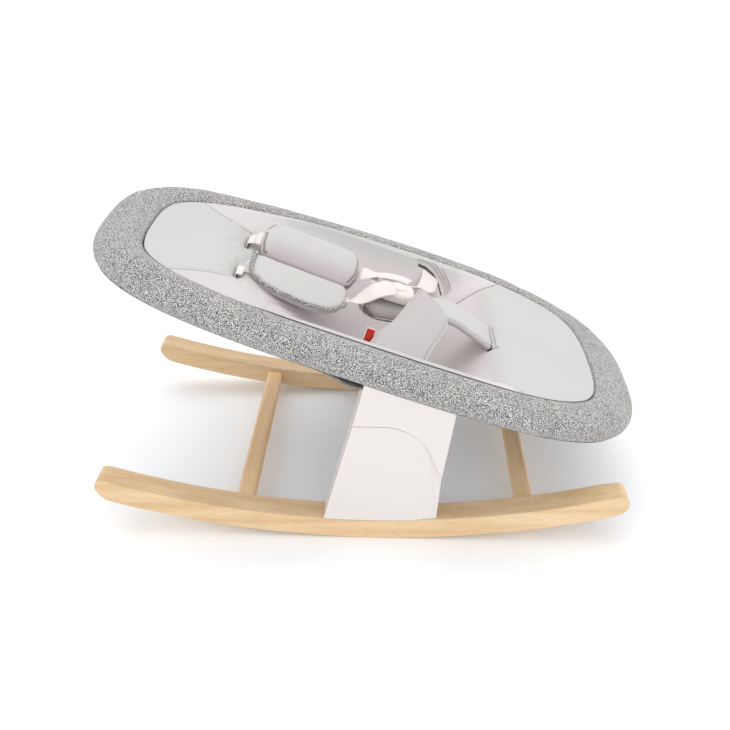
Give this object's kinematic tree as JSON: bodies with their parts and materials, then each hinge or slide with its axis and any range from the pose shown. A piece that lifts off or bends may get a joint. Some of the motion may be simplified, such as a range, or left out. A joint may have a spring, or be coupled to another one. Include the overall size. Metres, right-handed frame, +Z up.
{
  "type": "infant bouncer seat",
  "caption": "Padded oval infant seat with a harness, hung between two side supports on curved wooden rockers joined by cross rails.",
  "frame": {"origin": "centre of the footprint box, on the floor under the rockers", "axes": "+X from the head end to the foot end, +Y to the occupant's left, +Z up; the seat is at its lowest recline"},
  "size_m": [0.6972, 0.4116, 0.3684],
  "materials": {
    "beech": "clear matt lacquer on beech",
    "shell": "warm white, fine satin",
    "steel": "zinc plated",
    "friction": "hard fibre",
    "tube": "drawn tube",
    "foam": "closed-cell foam",
    "knit": "grey melange knit",
    "zip": "dark coil zip and piping",
    "pad": "smooth pale warm grey jersey over foam",
    "strap": "white woven webbing",
    "buckle": "ivory moulded",
    "label": "woven red label with a white edge"
  },
  "bodies": {
    "base": {"left_rocker": "beech", "right_rocker": "beech", "head_cross_rail": "beech", "foot_cross_rail": "beech", "left_head_dowel": "beech", "right_head_dowel": "beech", "left_foot_dowel": "beech", "right_foot_dowel": "beech", "left_lower_shell_outer": "shell", "right_lower_shell_outer": "shell", "left_lower_shell_inner": "shell", "right_lower_shell_inner": "shell", "left_hinge_plate": "steel", "right_hinge_plate": "steel", "left_support_screw_head_side": "steel", "right_support_screw_head_side": "steel", "left_support_screw_foot_side": "steel", "right_support_screw_foot_side": "steel", "left_friction_disc": "friction", "right_friction_disc": "friction", "left_pivot_bolt": "steel", "right_pivot_bolt": "steel", "left_pivot_nut": "steel", "right_pivot_nut": "steel"},
    "seat": {"hoop_tube": "tube", "hoop_foam_sleeve": "foam", "ring_cover": "knit", "cover_zip": "zip", "under_cover": "knit", "seat_pad": "pad", "left_seat_arm": "steel", "right_seat_arm": "steel", "left_hoop_screw_head_side": "steel", "right_hoop_screw_head_side": "steel", "left_hoop_screw_foot_side": "steel", "right_hoop_screw_foot_side": "steel", "right_shoulder_pad": "pad", "right_shoulder_strap": "strap", "left_shoulder_pad": "pad", "left_shoulder_strap": "strap", "buckle_body": "buckle", "button_spring": "steel", "left_buckle_tongue": "buckle", "right_buckle_tongue": "buckle", "left_waist_strap": "strap", "right_waist_strap": "strap", "right_hip_flap": "pad", "left_hip_flap": "pad", "crotch_pad": "pad", "crotch_strap": "strap", "side_label": "label", "left_upper_shell_outer": "shell", "right_upper_shell_outer": "shell", "left_upper_shell_inner": "shell", "right_upper_shell_inner": "shell"},
    "buckle_button": {"buckle_button": "buckle"}
  },
  "joints": [
    {"name": "seat_recline", "type": "hinge", "parent": "base", "child": "seat", "pos_m": [0.019, 0, 0.108], "axis": [0, 1, 0], "range_deg": [0, 15]},
    {"name": "buckle_press", "type": "slide", "parent": "seat", "child": "buckle_button", "axis": [-0.3262, 0, -0.9453], "range_m": [0, 0.003], "stiffness_N_per_m": 400, "springref_m": -0.003, "deforming": ["button_spring"]}
  ]
}
